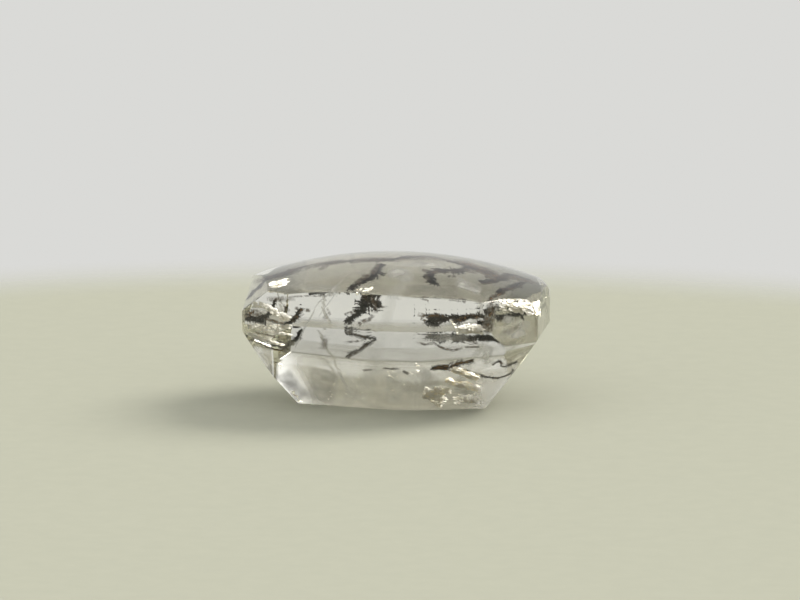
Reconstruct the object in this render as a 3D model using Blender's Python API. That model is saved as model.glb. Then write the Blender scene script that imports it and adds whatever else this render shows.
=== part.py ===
"""A cut dendritic quartz gemstone, resting on the small flat at the foot of its pavilion.

The stone is a twelve-sided cushion: a low polished dome above, a narrow upright girdle band, and four
tiers of flat facets that step in below it to the flat it rests on. Dark dendrites lie sealed inside, at
the height of the girdle band and rising under the dome. The clear quartz is therefore parted at that band
into an upper and a lower half, each with a recess, and the dendrites lie in the pocket between them,
parted at their main forks.

Frame: +X along the length, +Y away from the face seen in front, +Z up, origin at the middle of the flat.
"""

import math
import random
from dataclasses import dataclass

import bmesh
import bpy
from mathutils import Vector

MM = 0.001

# The outline at the girdle, in millimetres, counter-clockwise from the front left corner.
GIRDLE_CORNERS = (
    (-4.95, -5.35),
    (-0.25, -6.30),
    (1.90, -6.30),
    (5.20, -5.35),
    (7.70, -2.77),
    (7.70, 2.77),
    (5.20, 5.35),
    (1.20, 6.30),
    (-1.20, 6.30),
    (-4.95, 5.35),
    (-7.70, 2.77),
    (-7.70, -2.77),
)

# Heights in millimetres above the flat that the stone rests on.
DOME_TOP = 7.65
SIDE_LEVELS = (4.75, 4.05, 2.70, 0.0)
CORNER_LEVELS = (4.75, 3.85, 2.70, 0.0)
PARTING_HEIGHT = 5.25

# The dome's sphere, and the turned blank under it that the facets are cut from, in millimetres.
DOME_RADIUS = 22.0
DOME_CENTRE_X = -0.25
DOME_RINGS = 10
DOME_SECTORS = 72
BLANK_REACH = 9.6
BLANK_FOOT = -1.0

# How far each tier has come in at its foot, in millimetres, and the height where the girdle band ends.
LONG_SIDE = (6.10, SIDE_LEVELS, (0.23, 0.70, 1.75, 4.02))
RIGHT_CORNER = (5.65, CORNER_LEVELS, (0.05, 0.12, 0.80, 2.38))
LEFT_CORNER = (5.90, CORNER_LEVELS, (0.05, 0.10, 0.74, 2.19))
RIGHT_END = (5.60, CORNER_LEVELS, (0.00, 0.00, 0.86, 2.70))
LEFT_END = (5.80, CORNER_LEVELS, (0.00, 0.00, 0.80, 2.40))

# One entry for each side of the outline, in its order.
SIDES = (
    LONG_SIDE,
    LONG_SIDE,
    LONG_SIDE,
    RIGHT_CORNER,
    RIGHT_END,
    RIGHT_CORNER,
    LONG_SIDE,
    LONG_SIDE,
    LONG_SIDE,
    LEFT_CORNER,
    LEFT_END,
    LEFT_CORNER,
)

# The small kite facets that take the dome's rim off the four end corners: the plan direction and the
# rise of each one's normal in degrees, and the point of the upright corner edge that it cuts.
KITES = (
    (-14.0, 38.0, (7.70, -2.77, 5.55)),
    (-164.0, 40.0, (-7.70, -2.77, 5.10)),
    (16.0, 38.0, (7.70, 2.77, 5.60)),
    (164.0, 38.0, (-7.70, 2.77, 5.60)),
)

# The gap between the halves, in millimetres.
PARTING_GAP = 0.10

# The pocket in plan, in millimetres, and the share of that plan that it has at each of its levels.
POCKET_PLAN = (
    (-6.95, -1.60),
    (-3.00, -4.20),
    (5.60, -4.20),
    (6.95, -2.80),
    (6.95, 2.30),
    (6.00, 3.00),
    (-4.50, 3.00),
    (-6.95, 2.00),
)
POCKET_LEVELS = ((4.65, 1.00), (6.00, 0.95), (6.50, 0.74))

# The deeper part of the pocket, under the left dendrite.
DEEP_PLAN = ((-6.98, -1.15), (-4.40, -1.15), (-4.40, 1.90), (-6.98, 1.90))
DEEP_LEVELS = ((4.10, 1.00), (5.60, 1.00))

# A dendrite's stem, in millimetres.
STEM_STEP = 0.42
STEM_JITTER = 0.05
STEM_TIP_RADIUS = 0.06
STEM_SIDES = 6

# Its twigs: radii at root, knee and tip, the angle to the stem, how far a tip strays from the stem's
# height, and the clear space kept to what stands beside, in millimetres.
TWIG_RADII = (0.075, 0.07, 0.04)
TWIG_SIDES = 5
TWIG_SLANT = math.radians(58)
TWIG_DIP = 0.10
CLEARANCE = 0.30
OWN_CLEARANCE = 0.24

# How twigs vary, as shares: of the slant, of the reach, of the reach at the stem's two ends, and of the
# stem's own direction in the outer half of a twig.
SLANT_SPREAD = (0.8, 1.15)
REACH_SPREAD = (0.65, 1.0)
REACH_AT_ENDS = 0.5
TWIG_CURL = 0.35

# Distances in metres below which points count as one, or as on a plane.
MERGE_DISTANCE = 1e-7
ON_PLANE = 1e-8

QUARTZ_COLOUR = (0.86, 0.86, 0.80, 1.0)
QUARTZ_ROUGHNESS = 0.02
QUARTZ_IOR = 1.544
DENDRITE_COLOUR = (0.035, 0.022, 0.014, 1.0)
DENDRITE_ROUGHNESS = 0.75


@dataclass(frozen=True)
class Frond:
    """One dendrite: its stem's route, its longest twig, and its stem's radius at the root."""

    name: str
    stem: tuple
    reach: float
    radius: float
    seed: int


FRONDS = (
    Frond(
        "dendrite_left",
        (
            (-4.25, 0.85, 5.45),
            (-4.70, 0.95, 4.95),
            (-5.10, 1.00, 4.60),
            (-5.50, 0.82, 4.45),
            (-6.20, 0.30, 4.45),
            (-6.65, -0.20, 4.45),
        ),
        0.75,
        0.13,
        11,
    ),
    Frond(
        "dendrite_back_stem",
        (
            (-3.90, 0.40, 5.90),
            (-3.30, 0.24, 6.08),
            (-2.60, 0.20, 6.17),
            (-1.20, 0.25, 6.17),
            (-0.50, 0.37, 6.17),
            (0.05, 0.82, 6.17),
            (0.55, 1.32, 6.17),
            (1.10, 1.72, 6.17),
            (1.65, 1.80, 6.12),
        ),
        0.60,
        0.12,
        13,
    ),
    Frond(
        "dendrite_centre",
        (
            (-0.72, -0.35, 6.08),
            (-0.70, -1.40, 5.95),
            (-0.83, -2.25, 5.80),
            (-1.15, -2.83, 5.60),
            (-1.53, -3.15, 5.35),
            (-1.75, -3.45, 5.10),
        ),
        0.60,
        0.13,
        18,
    ),
    Frond(
        "dendrite_right_centre",
        (
            (4.40, 0.60, 5.18),
            (4.05, 0.98, 5.20),
            (3.53, 1.38, 5.25),
            (3.08, 0.94, 5.20),
            (2.94, 0.10, 5.15),
            (2.50, 0.24, 5.20),
            (2.07, -0.20, 5.20),
            (1.64, -0.63, 5.25),
            (1.85, -1.55, 5.10),
            (2.05, -2.20, 5.00),
        ),
        0.60,
        0.13,
        14,
    ),
    Frond(
        "dendrite_right_back",
        ((2.25, 1.38, 6.12), (2.80, 1.14, 6.10), (3.53, 0.69, 6.00), (4.34, 0.69, 5.90), (4.80, 0.63, 5.80)),
        0.60,
        0.12,
        15,
    ),
    Frond(
        "dendrite_far_right",
        ((5.20, 1.13, 5.80), (5.72, 1.40, 5.75), (6.20, 1.47, 5.65), (6.55, 1.60, 5.60)),
        0.45,
        0.10,
        20,
    ),
    Frond(
        "dendrite_right_edge",
        (
            (5.85, 2.20, 4.95),
            (5.20, 1.90, 4.95),
            (5.03, 0.85, 4.95),
            (4.65, -0.20, 4.95),
            (4.17, -0.76, 4.95),
        ),
        0.55,
        0.13,
        19,
    ),
    Frond(
        "dendrite_right_front",
        (
            (6.35, 0.65, 5.50),
            (6.10, -0.36, 5.60),
            (6.02, -1.40, 5.70),
            (5.74, -2.00, 5.80),
            (5.60, -2.85, 5.85),
        ),
        0.45,
        0.12,
        23,
    ),
)


def clear_scene():
    for thing in list(bpy.data.objects):
        bpy.data.objects.remove(thing)


def principled(name, colour, roughness, transmission=0.0):
    material = bpy.data.materials.new(name)
    material.use_nodes = True
    shader = material.node_tree.nodes["Principled BSDF"]
    shader.inputs["Base Color"].default_value = colour
    shader.inputs["Roughness"].default_value = roughness
    shader.inputs["Metallic"].default_value = 0.0
    shader.inputs["IOR"].default_value = QUARTZ_IOR
    shader.inputs["Transmission Weight"].default_value = transmission
    return material


def add_object(name, bm, material):
    """Puts the mesh in the scene under its node's name, turned right side out."""
    bmesh.ops.recalc_face_normals(bm, faces=bm.faces[:])
    mesh = bpy.data.meshes.new(name)
    bm.to_mesh(mesh)
    bm.free()
    mesh.materials.append(material)
    thing = bpy.data.objects.new(name, mesh)
    bpy.context.scene.collection.objects.link(thing)
    return thing


def dome_blank():
    """A turned blank under the dome's sphere, wider than the stone, for the facets to be cut from."""
    bm = bmesh.new()
    centre = Vector((DOME_CENTRE_X, 0.0, DOME_TOP - DOME_RADIUS)) * MM
    widest = math.asin(BLANK_REACH / DOME_RADIUS)
    profile = []
    for ring in range(DOME_RINGS + 1):
        angle = widest * ring / DOME_RINGS
        outward = Vector((math.sin(angle), 0.0, math.cos(angle)))
        profile.append(bm.verts.new(centre + outward * DOME_RADIUS * MM))
    profile.append(bm.verts.new((profile[-1].co.x, 0.0, BLANK_FOOT * MM)))
    profile.append(bm.verts.new((centre.x, 0.0, BLANK_FOOT * MM)))
    edges = [bm.edges.new(pair) for pair in zip(profile, profile[1:])]
    bmesh.ops.spin(
        bm,
        geom=profile + edges,
        cent=(centre.x, 0.0, 0.0),
        axis=(0.0, 0.0, 1.0),
        angle=math.tau,
        steps=DOME_SECTORS,
    )
    bmesh.ops.remove_doubles(bm, verts=bm.verts[:], dist=MERGE_DISTANCE)
    bmesh.ops.recalc_face_normals(bm, faces=bm.faces[:])
    return bm


def cut(bm, point, outward):
    """Grinds one flat: takes off all that lies outward of the plane and closes the cut."""
    everything = bm.verts[:] + bm.edges[:] + bm.faces[:]
    bmesh.ops.bisect_plane(
        bm, geom=everything, dist=ON_PLANE, plane_co=point, plane_no=outward, clear_outer=True
    )
    rim = [edge for edge in bm.edges if edge.is_boundary]
    if rim:
        bmesh.ops.edgeloop_fill(bm, edges=rim)


def normal_of(azimuth, rise):
    """The direction that points at this plan azimuth and rises by this angle, both in degrees."""
    turn, lift = math.radians(azimuth), math.radians(rise)
    return Vector((math.cos(turn) * math.cos(lift), math.sin(turn) * math.cos(lift), math.sin(lift)))


def cut_side(bm, start, end, band_foot, levels, insets):
    """Grinds the girdle band and the tiers of one side of the outline, from start to end in plan."""
    along = Vector((end[0] - start[0], end[1] - start[1], 0.0)).normalized()
    outward = Vector((along.y, -along.x, 0.0))
    wall = Vector((start[0], start[1], 0.0))
    cut(bm, wall * MM, outward)
    upper_height, upper_inset = band_foot, 0.0
    for height, inset in zip(levels, insets):
        if inset > upper_inset:
            drop, step = upper_height - height, inset - upper_inset
            facet_normal = (outward * drop - Vector((0.0, 0.0, step))).normalized()
            edge_point = wall - outward * upper_inset + Vector((0.0, 0.0, upper_height))
            cut(bm, edge_point * MM, facet_normal)
        upper_height, upper_inset = height, inset


def cut_stone():
    """The whole stone as ground and polished, in one piece."""
    bm = dome_blank()
    cut(bm, Vector((0.0, 0.0, 0.0)), Vector((0.0, 0.0, -1.0)))
    corners = GIRDLE_CORNERS + GIRDLE_CORNERS[:1]
    for start, end, (band_foot, levels, insets) in zip(corners, corners[1:], SIDES):
        cut_side(bm, start, end, band_foot, levels, insets)
    for azimuth, rise, point in KITES:
        cut(bm, Vector(point) * MM, normal_of(azimuth, rise))
    return bm


def half_stone(side):
    """The part of the stone above (side 1) or below (side -1) the parting."""
    bm = cut_stone()
    parting = (PARTING_HEIGHT + side * PARTING_GAP / 2) * MM
    cut(bm, Vector((0.0, 0.0, parting)), Vector((0.0, 0.0, -float(side))))
    return bm


def hollow(plan, levels):
    """A closed solid of the room that the dendrites take up, with its plan scaled at each level."""
    bm = bmesh.new()
    rings = [[bm.verts.new((x * share * MM, y * share * MM, z * MM)) for x, y in plan] for z, share in levels]
    for ring, following in zip(rings, rings[1:]):
        for index, corner in enumerate(ring):
            after = (index + 1) % len(ring)
            bm.faces.new((corner, ring[after], following[after], following[index]))
    bm.faces.new(rings[0][::-1])
    bm.faces.new(rings[-1])
    return bm


def resample(points, step):
    """Points at equal steps along the straight runs through the given ones."""
    route = [Vector(point) for point in points]
    lengths = [(b - a).length for a, b in zip(route, route[1:])]
    count = max(2, round(sum(lengths) / step))
    out = []
    for index in range(count + 1):
        left = sum(lengths) * index / count
        run = 0
        while run < len(lengths) - 1 and left > lengths[run]:
            left -= lengths[run]
            run += 1
        out.append(route[run].lerp(route[run + 1], min(1.0, left / lengths[run])))
    return out


def tube(bm, points, radii, sides):
    """Adds a closed tapering tube with flat ends through the points, in millimetres."""
    rings = []
    last = len(points) - 1
    for index, (point, radius) in enumerate(zip(points, radii)):
        along = (points[min(index + 1, last)] - points[max(index - 1, 0)]).normalized()
        across = along.cross(Vector((0.0, 0.0, 1.0))).normalized()
        upward = across.cross(along)
        ring = []
        for side in range(sides):
            angle = math.tau * (side + 0.5) / sides
            offset = across * math.cos(angle) + upward * math.sin(angle)
            ring.append(bm.verts.new((point + offset * radius) * MM))
        rings.append(ring)
    for ring, following in zip(rings, rings[1:]):
        for side in range(sides):
            after = (side + 1) % sides
            bm.faces.new((ring[side], ring[after], following[after], following[side]))
    bm.faces.new(rings[0][::-1])
    bm.faces.new(rings[-1])


def join_solid(thing, helper, operation):
    """Adds the helper's solid to the thing, or takes it off, and keeps the helper out of the result."""
    helper.hide_render = True
    helper.display_type = "WIRE"
    joined = thing.modifiers.new(helper.name, "BOOLEAN")
    joined.operation = operation
    joined.solver = "EXACT"
    joined.object = helper


def is_clear(points, taken, near):
    """Whether every one of these points keeps its distance from all the taken ones."""
    return all((point - other).length > near for point in points for other in taken)


def stem_points(frond, rng):
    """The stem's points, wandering a little to each side of its route."""
    points = []
    for spot in resample(frond.stem, STEM_STEP):
        points.append(spot + Vector((rng.uniform(-1, 1), rng.uniform(-1, 1), 0.0)) * STEM_JITTER)
    return points


def turned_in_plan(heading, angle):
    """The level direction at this angle to the left of the heading."""
    x = heading.x * math.cos(angle) - heading.y * math.sin(angle)
    y = heading.x * math.sin(angle) + heading.y * math.cos(angle)
    return Vector((x, y, 0.0)).normalized()


def twigs_of(frond, stem, taken, rng):
    """Each twig as its root, knee and tip, on the stem's two sides by turns, clear of what is there."""
    twigs = []
    last = len(stem) - 1
    for index in range(1, last):
        forward = (stem[index + 1] - stem[index - 1]).normalized()
        angle = (1 if index % 2 else -1) * TWIG_SLANT * rng.uniform(*SLANT_SPREAD)
        heading = turned_in_plan(forward, angle)
        fullness = REACH_AT_ENDS + (1.0 - REACH_AT_ENDS) * math.sin(math.pi * index / last)
        half_reach = frond.reach * fullness * rng.uniform(*REACH_SPREAD) / 2
        half_dip = Vector((0.0, 0.0, rng.uniform(-TWIG_DIP, TWIG_DIP))) / 2
        root = stem[index]
        knee = root + heading * half_reach + half_dip
        tip = knee + heading.lerp(forward, TWIG_CURL).normalized() * half_reach + half_dip
        own = stem[: index - 1] + stem[index + 2 :] + [point for twig in twigs for point in twig[1:]]
        if is_clear((knee, tip), taken, CLEARANCE) and is_clear((knee, tip), own, OWN_CLEARANCE):
            twigs.append((root, knee, tip))
    return twigs


def add_frond(frond, taken):
    """Models one frond as a stem with its twigs grown on, and returns the points that it takes."""
    rng = random.Random(frond.seed)
    stem = stem_points(frond, rng)
    twigs = twigs_of(frond, stem, taken, rng)
    material = principled(frond.name, DENDRITE_COLOUR, DENDRITE_ROUGHNESS)

    last = len(stem) - 1
    radii = [frond.radius + (STEM_TIP_RADIUS - frond.radius) * index / last for index in range(last + 1)]
    bm = bmesh.new()
    tube(bm, stem, radii, STEM_SIDES)
    thing = add_object(frond.name, bm, material)

    bm = bmesh.new()
    for twig in twigs:
        tube(bm, twig, TWIG_RADII, TWIG_SIDES)
    join_solid(thing, add_object(frond.name + "_twigs", bm, material), "UNION")
    return stem + [point for twig in twigs for point in twig[1:]]


def add_half(name, side):
    """Models one half of the clear quartz, above or below the parting, with its part of the pocket."""
    material = principled(name, QUARTZ_COLOUR, QUARTZ_ROUGHNESS, transmission=1.0)
    half = add_object(name, half_stone(side), material)
    pocket = add_object(name + "_pocket", hollow(POCKET_PLAN, POCKET_LEVELS), material)
    join_solid(half, pocket, "DIFFERENCE")
    deep = add_object(name + "_deep_pocket", hollow(DEEP_PLAN, DEEP_LEVELS), material)
    join_solid(half, deep, "DIFFERENCE")


def main():
    clear_scene()
    add_half("quartz_upper", 1)
    add_half("quartz_lower", -1)
    taken = []
    for frond in FRONDS:
        taken.extend(add_frond(frond, taken))


main()
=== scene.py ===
"""Looks of a cut dendritic quartz gemstone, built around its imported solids.

One clear faceted piece stands for the two halves of the quartz. Inside it lie the dendrites, grown from the
same stems as their solids, and the veils, clouds, fractures and bright flakes of the natural stone.
Lengths are in millimetres in the code, and MM turns them into metres. What shows from the front is placed by
where the photograph shows it, in pixels of its frame of 800 by 600, and found in the stone by refraction.
"""

import logging
import math
import random
from collections.abc import Sequence
from dataclasses import dataclass, field
from enum import Enum

import bmesh
import bpy
from mathutils import Matrix, Vector, noise
from mathutils.bvhtree import BVHTree
from mathutils.kdtree import KDTree


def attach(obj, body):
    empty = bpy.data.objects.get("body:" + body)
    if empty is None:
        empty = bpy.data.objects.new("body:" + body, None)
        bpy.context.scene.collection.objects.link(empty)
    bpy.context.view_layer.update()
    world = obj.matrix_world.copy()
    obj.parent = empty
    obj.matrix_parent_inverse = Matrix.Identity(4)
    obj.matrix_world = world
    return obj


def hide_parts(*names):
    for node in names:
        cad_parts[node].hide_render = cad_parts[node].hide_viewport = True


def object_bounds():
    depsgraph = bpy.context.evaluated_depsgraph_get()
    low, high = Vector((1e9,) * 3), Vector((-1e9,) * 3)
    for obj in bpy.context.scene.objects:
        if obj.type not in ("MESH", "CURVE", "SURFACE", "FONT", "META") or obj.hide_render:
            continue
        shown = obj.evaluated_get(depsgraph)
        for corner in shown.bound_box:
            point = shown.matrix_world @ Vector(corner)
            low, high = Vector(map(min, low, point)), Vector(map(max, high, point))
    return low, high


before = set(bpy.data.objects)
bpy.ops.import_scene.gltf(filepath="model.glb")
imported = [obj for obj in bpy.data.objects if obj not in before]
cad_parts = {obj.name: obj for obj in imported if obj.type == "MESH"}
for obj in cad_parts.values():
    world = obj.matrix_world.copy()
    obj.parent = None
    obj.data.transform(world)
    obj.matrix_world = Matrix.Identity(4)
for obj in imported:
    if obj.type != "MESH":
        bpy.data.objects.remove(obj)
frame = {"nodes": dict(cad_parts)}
CAD_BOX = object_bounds()

MM = 0.001
LOG = logging.getLogger("dendritic_quartz")
UP = Vector((0.0, 0.0, 1.0))

# The vector noise differs from run to run unless it is given a seed.
NOISE_SEED = 5

# The attributes that tell the materials how far a dendrite has grown, and how solid a cloud is.
AGE = "age"
BODY = "body"

Colour = tuple[float, float, float]
Pixel = tuple[float, float]
Span = tuple[float, float]
Route = tuple[tuple[float, float, float], ...]


class Slot(Enum):
    """The record's material slots."""

    QUARTZ = "quartz"
    DENDRITE = "dendrite"


class Tree:
    """A node tree under construction, with short calls to add and join its nodes."""

    def __init__(self, tree: bpy.types.NodeTree) -> None:
        """Takes the tree and empties it.

        Args:
            tree: The node tree of a material, a world or a group.
        """
        self.tree = tree
        tree.nodes.clear()

    def add(self, kind: str, settings: dict | None = None, **inputs: object) -> bpy.types.Node:
        """Adds a node.

        Args:
            kind: The node's Blender type.
            settings: The node's own properties.
            **inputs: Its inputs by name, with _ for a space. A socket is linked, and a value is set.

        Returns:
            The new node.
        """
        node = self.tree.nodes.new(kind)
        for name, value in (settings or {}).items():
            setattr(node, name, value)
        for name, value in inputs.items():
            self.feed(node.inputs[name.replace("_", " ")], value)
        return node

    def feed(self, socket: bpy.types.NodeSocket, value: object) -> None:
        """Links a socket into this input, or sets its value.

        Args:
            socket: The input.
            value: The socket to link, or the value to set.
        """
        if isinstance(value, bpy.types.NodeSocket):
            self.tree.links.new(value, socket)
        else:
            socket.default_value = value

    def maths(self, operation: str, first: object, second: object = 0.0) -> bpy.types.NodeSocket:
        """Adds a Math node.

        Args:
            operation: What it does, by Blender's name.
            first: Its first number or socket.
            second: Its second number or socket.

        Returns:
            Its output.
        """
        node = self.tree.nodes.new("ShaderNodeMath")
        node.operation = operation
        self.feed(node.inputs[0], first)
        self.feed(node.inputs[1], second)
        return node.outputs[0]

    def ramp(self, value: bpy.types.NodeSocket, stops: Sequence[tuple[float, Colour]]) -> bpy.types.Node:
        """Adds a colour ramp.

        Args:
            value: The socket that it reads.
            stops: Each stop's place from 0 to 1 and its colour, in order.

        Returns:
            The ramp's node.
        """
        node = self.add("ShaderNodeValToRGB", None, Fac=value)
        elements = node.color_ramp.elements
        while len(elements) < len(stops):
            elements.new(1.0)
        for element, (place, colour) in zip(elements, stops):
            element.position = place
            element.color = (*colour, 1.0)
        return node

    def map_range(
        self, value: object, low: float, high: float, to: tuple[float, float]
    ) -> bpy.types.NodeSocket:
        """Adds a Map Range node that maps smoothly.

        Args:
            value: The number or socket that it maps.
            low: The value that becomes the first number.
            high: The value that becomes the second number.
            to: The two numbers.

        Returns:
            Its output.
        """
        settings = {"interpolation_type": "SMOOTHSTEP"}
        node = self.add("ShaderNodeMapRange", settings, Value=value, From_Min=low, From_Max=high)
        node.inputs["To Min"].default_value, node.inputs["To Max"].default_value = to
        return node.outputs["Result"]

    def mix(self, share: object, first: object, second: object) -> bpy.types.NodeSocket:
        """Adds a Mix node for colours.

        Args:
            share: The share of the second colour, a number or a socket.
            first: The first colour, or its socket.
            second: The second colour, or its socket.

        Returns:
            Its output.
        """
        node = self.tree.nodes.new("ShaderNodeMix")
        node.data_type = "RGBA"
        self.feed(node.inputs["Factor"], share)
        for socket, value in ((node.inputs[6], first), (node.inputs[7], second)):
            self.feed(socket, (*value, 1.0) if isinstance(value, tuple) else value)
        return node.outputs[2]


def mottle(
    tree: Tree, place: bpy.types.NodeSocket, scale: float, contrast: float
) -> bpy.types.NodeSocket:
    """Adds the patchy grain that several finishes share, as a node group.

    Args:
        tree: The tree that it goes into.
        place: The point that it is read at.
        scale: Its fineness, in patches to the metre.
        contrast: How far it leaves the middle value of 0.5.

    Returns:
        A value from 0 to 1.
    """
    group = bpy.data.node_groups.get("mottle") or make_mottle_group()
    node = tree.add("ShaderNodeGroup", {"node_tree": group}, Place=place, Scale=scale, Contrast=contrast)
    return node.outputs["Value"]


def make_mottle_group(detail: float = 4.0, middle: float = 0.5) -> bpy.types.NodeTree:
    """Makes the node group of the patchy grain.

    Args:
        detail: How many finer levels of noise it has.
        middle: The value that it swings around.

    Returns:
        The group.
    """
    group = bpy.data.node_groups.new("mottle", "ShaderNodeTree")
    for name, way, kind in (
        ("Place", "INPUT", "NodeSocketVector"),
        ("Scale", "INPUT", "NodeSocketFloat"),
        ("Contrast", "INPUT", "NodeSocketFloat"),
        ("Value", "OUTPUT", "NodeSocketFloat"),
    ):
        group.interface.new_socket(name, in_out=way, socket_type=kind)
    inner = Tree(group)
    asked = inner.add("NodeGroupInput").outputs
    grain = inner.add("ShaderNodeTexNoise", None, Vector=asked["Place"], Scale=asked["Scale"], Detail=detail)
    swing = inner.maths("SUBTRACT", grain.outputs["Fac"], middle)
    value = inner.maths("ADD", inner.maths("MULTIPLY", swing, asked["Contrast"]), middle)
    value.node.use_clamp = True
    inner.add("NodeGroupOutput", None, Value=value)
    return group


def new_material(name: str) -> tuple[bpy.types.Material, Tree, bpy.types.Node]:
    """Makes a material with a Principled shader on its output.

    Args:
        name: The material's name.

    Returns:
        The material, its tree and its Principled node.
    """
    material = bpy.data.materials.new(name)
    material.use_nodes = True
    tree = Tree(material.node_tree)
    shader = tree.add("ShaderNodeBsdfPrincipled")
    tree.add("ShaderNodeOutputMaterial", None, Surface=shader.outputs["BSDF"])
    return material, tree, shader


@dataclass(frozen=True)
class QuartzFinish:
    """Clear polished quartz: plain transmission, with a faint warm grey absorbed along the way."""

    colour: Colour = (1.0, 1.0, 1.0)
    roughness: float = 0.0
    ior: float = 1.544
    absorbed: Colour = (0.955, 0.95, 0.90)
    density: float = 120.0

    def material(self) -> bpy.types.Material:
        """Makes the stone's material."""
        material, tree, shader = new_material("clear quartz")
        shader.inputs["Base Color"].default_value = (*self.colour, 1.0)
        shader.inputs["Roughness"].default_value = self.roughness
        shader.inputs["IOR"].default_value = self.ior
        shader.inputs["Transmission Weight"].default_value = 1.0
        tint = (*self.absorbed, 1.0)
        inside = tree.add("ShaderNodeVolumeAbsorption", None, Color=tint, Density=self.density)
        output = next(node for node in tree.tree.nodes if node.bl_idname == "ShaderNodeOutputMaterial")
        tree.feed(output.inputs["Volume"], inside.outputs["Volume"])
        return material


@dataclass(frozen=True)
class DendriteFinish:
    """Dark mineral growth: black at its stems, and brown to orange at the tips of its needles."""

    stem: Colour = (0.008, 0.006, 0.005)
    middle: Colour = (0.030, 0.017, 0.009)
    tip: Colour = (0.26, 0.125, 0.04)
    places: tuple[float, float, float] = (0.15, 0.6, 1.0)
    roughness: float = 0.8
    grain: float = 2600.0
    contrast: float = 1.6

    def material(self) -> bpy.types.Material:
        """Makes the dendrites' material, which reads how far each point has grown from its stem."""
        material, tree, shader = new_material("dendrite")
        age = tree.add("ShaderNodeAttribute", {"attribute_name": AGE}).outputs["Fac"]
        place = tree.add("ShaderNodeTexCoord").outputs["Object"]
        patches = tree.maths("SUBTRACT", mottle(tree, place, self.grain, self.contrast), 0.5)
        mottled = tree.maths("ADD", age, patches)
        colours = tree.ramp(mottled, list(zip(self.places, (self.stem, self.middle, self.tip))))
        tree.feed(shader.inputs["Base Color"], colours.outputs["Color"])
        shader.inputs["Roughness"].default_value = self.roughness
        return material


@dataclass(frozen=True)
class VeilFinish:
    """A thin cloud inside the stone, patchy and see-through, as solid as its sheet's body value says.

    The share of its body that is held is there between its patches too.
    """

    name: str
    pale: Colour
    deep: Colour
    strength: float
    grain: float = 1500.0
    contrast: float = 3.0
    metallic: float = 0.0
    roughness: float = 0.9
    specular: float = 0.2
    bump: float = 0.0
    bump_depth: float = 0.1
    lines: float = 0.0
    line_distortion: float = 5.0
    line_detail: float = 3.0
    held: float = 0.25

    def material(self) -> bpy.types.Material:
        """Makes the cloud's material."""
        material, tree, shader = new_material(self.name)
        place = tree.add("ShaderNodeTexCoord").outputs["Object"]
        patches = mottle(tree, place, self.grain, self.contrast)
        colour = tree.mix(patches, self.deep, self.pale)
        body = tree.add("ShaderNodeAttribute", {"attribute_name": BODY}).outputs["Fac"]
        share = tree.maths("MULTIPLY_ADD", patches, 1.0 - self.held)
        share.node.inputs[2].default_value = self.held
        solid = tree.maths("MULTIPLY", tree.maths("MULTIPLY", body, share), self.strength)
        if self.lines:
            stripes = tree.add("ShaderNodeTexWave", {"bands_direction": "DIAGONAL"}, Vector=place)
            stripes.inputs["Scale"].default_value = self.lines
            stripes.inputs["Distortion"].default_value = self.line_distortion
            stripes.inputs["Detail"].default_value = self.line_detail
            colour = tree.mix(stripes.outputs["Fac"], colour, self.pale)
            height = stripes.outputs["Fac"]
        else:
            height = patches
        if self.bump:
            settings = {"Strength": self.bump, "Distance": self.bump_depth * MM}
            uneven = tree.add("ShaderNodeBump", None, Height=height, **settings)
            tree.feed(shader.inputs["Normal"], uneven.outputs["Normal"])
        tree.feed(shader.inputs["Base Color"], colour)
        tree.feed(shader.inputs["Alpha"], solid)
        shader.inputs["Metallic"].default_value = self.metallic
        shader.inputs["Roughness"].default_value = self.roughness
        shader.inputs["Specular IOR Level"].default_value = self.specular
        return material


@dataclass(frozen=True)
class FleckFinish:
    """A flake that catches the light: a silvery break in the stone, with warm patches."""

    name: str
    roughness: float
    pale: Colour = (1.0, 0.99, 0.94)
    warm: Colour = (1.0, 0.93, 0.74)
    grain: float = 3000.0
    contrast: float = 3.0

    def material(self) -> bpy.types.Material:
        """Makes the flakes' material."""
        material, tree, shader = new_material(self.name)
        place = tree.add("ShaderNodeTexCoord").outputs["Object"]
        colour = tree.mix(mottle(tree, place, self.grain, self.contrast), self.pale, self.warm)
        tree.feed(shader.inputs["Base Color"], colour)
        shader.inputs["Metallic"].default_value = 1.0
        shader.inputs["Roughness"].default_value = self.roughness
        return material


class Flake(Enum):
    """The kinds of flake in the stone."""

    BRIGHT = FleckFinish("bright flake", 0.3)
    SATIN = FleckFinish("satin flake", 0.45, (0.99, 0.98, 0.94), (0.94, 0.91, 0.82))


class Cloud(Enum):
    """The kinds of cloud and fracture in the stone, and the grey smoke cloud, which is partly painted shade.
    """

    MILKY = VeilFinish("milky veil", (0.96, 0.95, 0.90), (0.80, 0.79, 0.74), 0.75)
    HATCHED = VeilFinish(
        "hatched fracture",
        (0.88, 0.87, 0.80),
        (0.16, 0.15, 0.13),
        0.9,
        metallic=0.3,
        bump=0.4,
        lines=1100.0,
    )
    # Grey smoke clouds, partly painted shade: dark sheets that grey the lowest facets and a band at the foot
    # of the dome, where those facets mirror darker surroundings.
    SMOKE_AND_SHADE = VeilFinish("smoky cloud", (0.24, 0.23, 0.21), (0.10, 0.095, 0.085), 0.6, contrast=2.0)
    RUSTY = VeilFinish("rusty cloud", (0.20, 0.13, 0.07), (0.06, 0.04, 0.025), 0.8, grain=3500.0)
    FEATHERY = VeilFinish(
        "feathery growth",
        (0.17, 0.10, 0.045),
        (0.016, 0.011, 0.007),
        1.0,
        grain=6500.0,
        contrast=5.0,
        held=0.15,
    )
    HAZE = VeilFinish("deep haze", (0.98, 0.955, 0.855), (0.94, 0.905, 0.78), 0.72, grain=380.0, contrast=2.4)


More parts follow.
